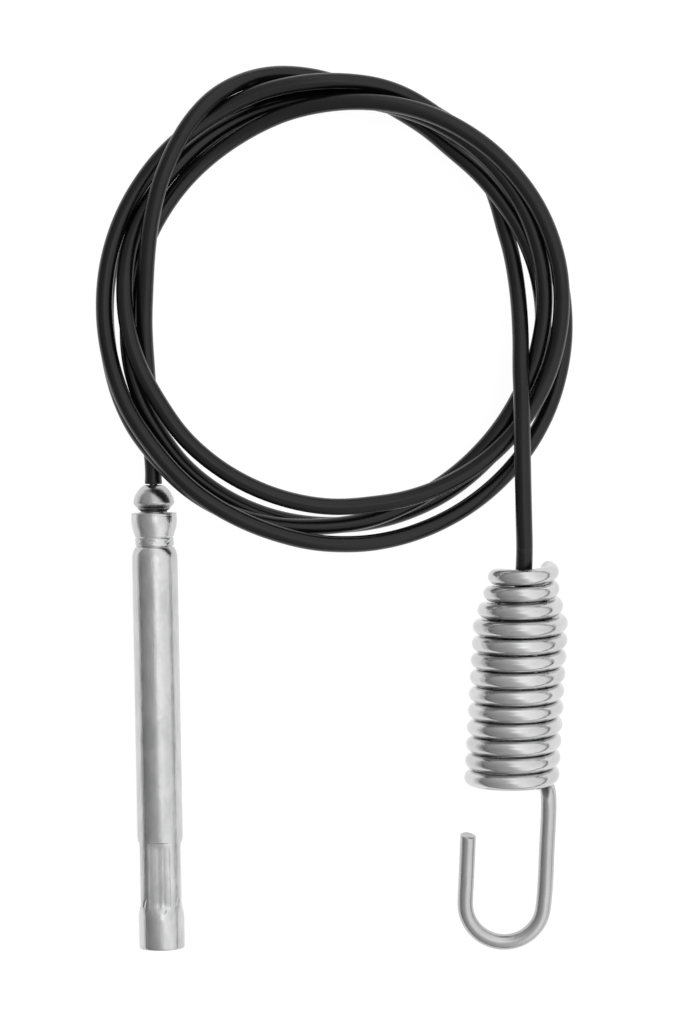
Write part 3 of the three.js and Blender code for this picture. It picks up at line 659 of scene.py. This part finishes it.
# ---------------------------------------------------------------- swivel plug
dome = rounded([
    (1.42, 15.9), (1.42, -6.9), (1.60, -7.55), (1.95, -7.70), (2.45, -7.70), (3.06, -7.42), (3.56, -7.02), (3.98, -6.60),
    (4.37, -6.14), (4.82, -5.50), (5.19, -4.80), (5.47, -4.05), (5.63, -3.35), (5.69, -2.95), (5.66, -2.58), (5.22, -2.02),
    (4.66, -1.42), (4.46, -1.02), (4.30, -0.82), (3.70, -0.66), (3.62, 0.35), (4.75, 0.95), (4.75, 3.9), (4.55, 4.3), (3.78, 6.3),
    (3.70, 6.7), (3.70, 10.0), (3.85, 10.5), (4.42, 12.5), (4.75, 13.2), (4.75, 15.5), (4.15, 16.15), (1.75, 16.15), (1.42, 15.9),
], 0.30, 0.20)
n = 112
t = (np.arange(n) + 0.5) / n * TAU
r = dome[:, 0][:, None] * np.ones(n)
w = dome[:, 1]
x = r * np.cos(t)
top = (np.sin(t) > 0) * (dome[:, 0] > 2.0)[:, None]
r = r - 1.15 * top * np.exp(-(((x + 0.45) / 0.72) ** 2)) * (1 - smooth(-7.75, -6.75, w))[:, None]
r = r + 0.010 * np.sin(2 * t + 1.0) * (dome[:, 0] > 2.0)[:, None]
rings, local = turned_rings(sleeve_axis, w, r, n)
verts, faces = ringed(rings[:-1], loop=True)
edges = np.exp(-(((w - -2.3) / 0.45) ** 2)) * 0.35 + np.exp(-(((w - -7.6) / 0.35) ** 2)) * 0.5
plug = mesh_piece("domed_plug", verts, faces, local[:-1].reshape(-1, 3), turned, 40, np.repeat(edges[:-1], n))
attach(plug, "cable")
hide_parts("swivel_plug")


# ---------------------------------------------------------------- wire rope
def rope_piece(name, axis, a, b, node):
    """Six strands laid round a seventh, cut off square, with each strand's own wires as ridges."""
    s = np.linspace(a, b, int((b - a) / 0.35) + 1)
    parts = []
    for k in range(7):
        if k == 6:
            line = axis(s, np.zeros_like(s), np.zeros_like(s))
            size = 0.41
        else:
            turn = k * TAU / 6 + s / 13.0 * TAU
            line = axis(s, 0.795 * np.cos(turn), 0.795 * np.sin(turn))
            size = 0.405
        sides = 18
        t, p, q = frames(line, axis.z)
        ang = np.arange(sides) / sides * TAU
        lay = size * (1 + 0.085 * np.cos(6 * (ang[None, :] - s[:, None] / 5.5 * TAU)))
        rings = line[:, None] + (p[:, None] * np.cos(ang)[None, :, None] + q[:, None] * np.sin(ang)[None, :, None]) * lay[:, :, None]
        local = np.stack([lay * np.cos(ang) + k * 3, lay * np.sin(ang), np.broadcast_to(s[:, None], lay.shape)], -1)
        v, f = ringed(rings)
        parts.append((v, f, local.reshape(-1, 3)))
    fixed = []
    for v, f, l in parts:
        if volume(v, f) < 0:
            f = [x[::-1] for x in f]
        fixed.append((v, f, l))
    verts, faces, local = joined(fixed)
    piece = mesh_piece(name, verts, faces, local, strand, 50)
    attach(piece, "cable")
    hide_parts(node)
    return piece


rope_a = rope_piece("rope_in_plug", sleeve_axis, -8.5, 15.9, "cable_rope_plug_end")
rope_b = rope_piece("rope_in_stop", spring_axis, 7.8, 23.7, "cable_rope_stop_end")

# ---------------------------------------------------------------- end stop
stop = rounded([
    (1.45, 23.8), (1.45, 9.6), (1.75, 9.4), (4.55, 9.4), (4.9, 9.55), (5.7, 10.7), (5.88, 12.2), (5.9, 22.9), (5.75, 23.4), (5.2, 24.0), (1.7, 24.0), (1.45, 23.8),
], 0.4, 0.22)
n = 96
t = (np.arange(n) + 0.5) / n * TAU
r = stop[:, 0][:, None] * np.ones(n)
w = stop[:, 1]
hexed = 5.35 / np.cos((t + TAU / 12) % (TAU / 6) - TAU / 12)
pressed = (smooth(13.2, 14.0, w) * (1 - smooth(20.8, 21.6, w)) * (stop[:, 0] > 3))[:, None]
r = r + (np.minimum(hexed, r) - r) * pressed
rings, local = turned_rings(spring_axis, w, r, n)
verts, faces = ringed(rings[:-1], loop=True)
end_stop = mesh_piece("crimped_stop", verts, faces, local[:-1].reshape(-1, 3), crimped, 40)
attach(end_stop, "cable")
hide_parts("end_stop")

# ---------------------------------------------------------------- spring
WIRE_R = 2.175
turns_at = np.array([0.0, 0.75, 1.5, 2.5, 3.3, 5.0, 14.0])
turns_r = np.array([7.45, 7.6, 8.4, 9.75, 10.9, 10.9, 10.9])
points = []
for a in np.arange(-25.0, 4650.1, 15.0):
    turn = (a + 25.0) / 360.0
    r = float(monotone(np.array([turn]), turns_at, turns_r)[0])
    points.append((WIRE_R + turn * 4.68, r * math.cos(math.radians(a)), r * math.sin(math.radians(a))))
end = points[-1][0]
points += [
    (end + 0.35, 10.0, -4.6), (end + 1.4, 10.45, -3.1), (end + 3.1, 10.65, -2.0), (end + 5.6, 10.8, -1.5),
    (end + 12.0, 10.9, -1.0), (end + 20.0, 10.95, -0.5),
]
for a in np.linspace(0, math.pi, 13):
    points.append((96 + 10.85 * math.sin(a), 10.85 * math.cos(a), 0.0))
points += [(91.5, -10.9, 0.0), (87.0, -10.95, 0.0), (82.0, -11.02, 0.0), (77.3, -11.1, 0.0)]
points = np.array(points)
coil_line, s = even(spring_axis(points[:, 0], points[:, 1], points[:, 2]), 1.0)
ends = np.r_[0.0, 0.06, 0.18, 0.40, s[-1] - np.r_[0.40, 0.18, 0.06, 0.0]]
s_all = np.unique(np.r_[s[(s > 0.7) & (s < s[-1] - 0.7)], ends])
wire_line = np.c_[[np.interp(s_all, s, coil_line[:, k]) for k in range(3)]].T
size = WIRE_R + 0.085 * (1 - smooth(s[-1] - 100.0, s[-1] - 84.0, s_all)) + 0.004 * np.sin(s_all * 0.21)
for k, drop in ((0, 0.22), (1, 0.10), (2, 0.03)):
    size[k] -= drop
    size[-1 - k] -= drop


def sheared_tip(rings, line, t):
    """The hook's end is cut a little aslant, its face turned up."""
    weight = smooth(s_all[-1] - 5.0, s_all[-1], s_all)
    off = rings - line[:, None]
    slope = 0.20 * (off @ np.array([0.0, 0.0, 1.0])) + 0.10 * (off @ np.array([1.0, 0.0, 0.0]))
    return -t[-1] * (slope * weight[:, None])[..., None]


verts, faces, local = wire(wire_line, s_all, size, 26, spring_axis.x, sheared_tip)
tip_wear_and_hook_shade = np.maximum(np.exp(-((s_all / 0.5) ** 2)), np.exp(-(((s_all - s_all[-1]) / 0.5) ** 2))) * 0.6
# the hook gets a rougher finish and a darker colour than the coils: the darker colour is painted shade that dulls its
# reflection
tip_wear_and_hook_shade = np.maximum(tip_wear_and_hook_shade, 1.0 * smooth(s[-1] - 94.0, s[-1] - 80.0, s_all))
spring = mesh_piece("hooked_spring", verts, faces, local, music_wire, 50, np.repeat(tip_wear_and_hook_shade, 26))
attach(spring, "spring")
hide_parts("extension_spring")

# ---------------------------------------------------------------- white table and soft light
bpy.ops.mesh.primitive_plane_add(size=8.0, location=(0.0, 0.05, -0.0001))
table = bpy.context.active_object
table.name = "table"
white = bpy.data.materials.new("white_table")
white.use_nodes = True
tree = white.node_tree
shader = tree.nodes["Principled BSDF"]
shader.inputs["Base Color"].default_value = (0.16, 0.16, 0.16, 1.0)
shader.inputs["Roughness"].default_value = 0.9
shader.inputs["Specular IOR Level"].default_value = 0.1
shader.inputs["Emission Color"].default_value = (1.0, 1.0, 1.0, 1.0)
shader.inputs["Emission Strength"].default_value = 0.93
table.data.materials.append(white)

world = bpy.data.worlds.new("studio")
bpy.context.scene.world = world
world.use_nodes = True
tree = world.node_tree
tree.nodes.clear()


def world_node(kind, **props):
    n = tree.nodes.new(kind)
    for k, v in props.items():
        setattr(n, k, v)
    return n


def ramp(value, a, b, lo, hi, curve="SMOOTHSTEP"):
    n = world_node("ShaderNodeMapRange", interpolation_type=curve)
    for k, v in (("From Min", a), ("From Max", b), ("To Min", lo), ("To Max", hi)):
        n.inputs[k].default_value = v
    tree.links.new(value, n.inputs["Value"])
    return n.outputs["Result"]


def calc(op, a, b):
    n = world_node("ShaderNodeMath", operation=op)
    for k, v in enumerate((a, b)):
        if isinstance(v, (int, float)):
            n.inputs[k].default_value = v
        else:
            tree.links.new(v, n.inputs[k])
    return n.outputs[0]


# A big soft box over the right and the far side, a greyer wall on the left, and a dark gap between them and the table.
where = world_node("ShaderNodeTexCoord")
split = world_node("ShaderNodeSeparateXYZ")
tree.links.new(where.outputs["Generated"], split.inputs[0])
x, y, z = split.outputs
lean = calc("ADD", x, calc("MULTIPLY", y, 0.25))
left = ramp(lean, -1.0, 0.0, 0.36, 0.84, "LINEAR")
right = ramp(lean, 0.35, 1.0, 1.52, 1.22, "LINEAR")
side = ramp(lean, -0.12, 0.24, 0.0, 1.0)
level = calc("ADD", calc("MULTIPLY", left, calc("SUBTRACT", 1.0, side)), calc("MULTIPLY", right, side))
gap = ramp(z, 0.095, 0.145, 0.015, 1.0)
level = calc("MULTIPLY", level, gap)
lit = world_node("ShaderNodeBackground")
tree.links.new(level, lit.inputs["Strength"])
plain = world_node("ShaderNodeBackground")
plain.inputs["Color"].default_value = (1.0, 1.0, 1.0, 1.0)
plain.inputs["Strength"].default_value = 1.0
ray = world_node("ShaderNodeLightPath")
pick = world_node("ShaderNodeMixShader")
tree.links.new(ray.outputs["Is Camera Ray"], pick.inputs[0])
tree.links.new(lit.outputs[0], pick.inputs[1])
tree.links.new(plain.outputs[0], pick.inputs[2])
out = world_node("ShaderNodeOutputWorld")
tree.links.new(pick.outputs[0], out.inputs["Surface"])

lamp = bpy.data.lights.new("overhead", "AREA")
lamp.shape = "DISK"
lamp.size = 0.60
lamp.energy = 0.28
overhead = bpy.data.objects.new("overhead", lamp)
overhead.location = (0.14, 0.12, 1.70)
overhead.rotation_euler = (Vector((0.0, 0.05, 0.0)) - Vector(overhead.location)).to_track_quat("-Z", "Y").to_euler()
bpy.context.scene.collection.objects.link(overhead)

ring_lamp = bpy.data.lights.new("near_lens", "AREA")
ring_lamp.shape = "DISK"
ring_lamp.size = 0.34
ring_lamp.energy = 0.05
near_lens = bpy.data.objects.new("near_lens", ring_lamp)
near_lens.location = (0.0, 0.10, 0.78)
near_lens.visible_camera = False
bpy.context.scene.collection.objects.link(near_lens)

scene = bpy.context.scene
scene.view_settings.view_transform = "Standard"
scene.view_settings.look = "None"
scene.view_settings.exposure = 0.0
scene.view_settings.gamma = 1.0
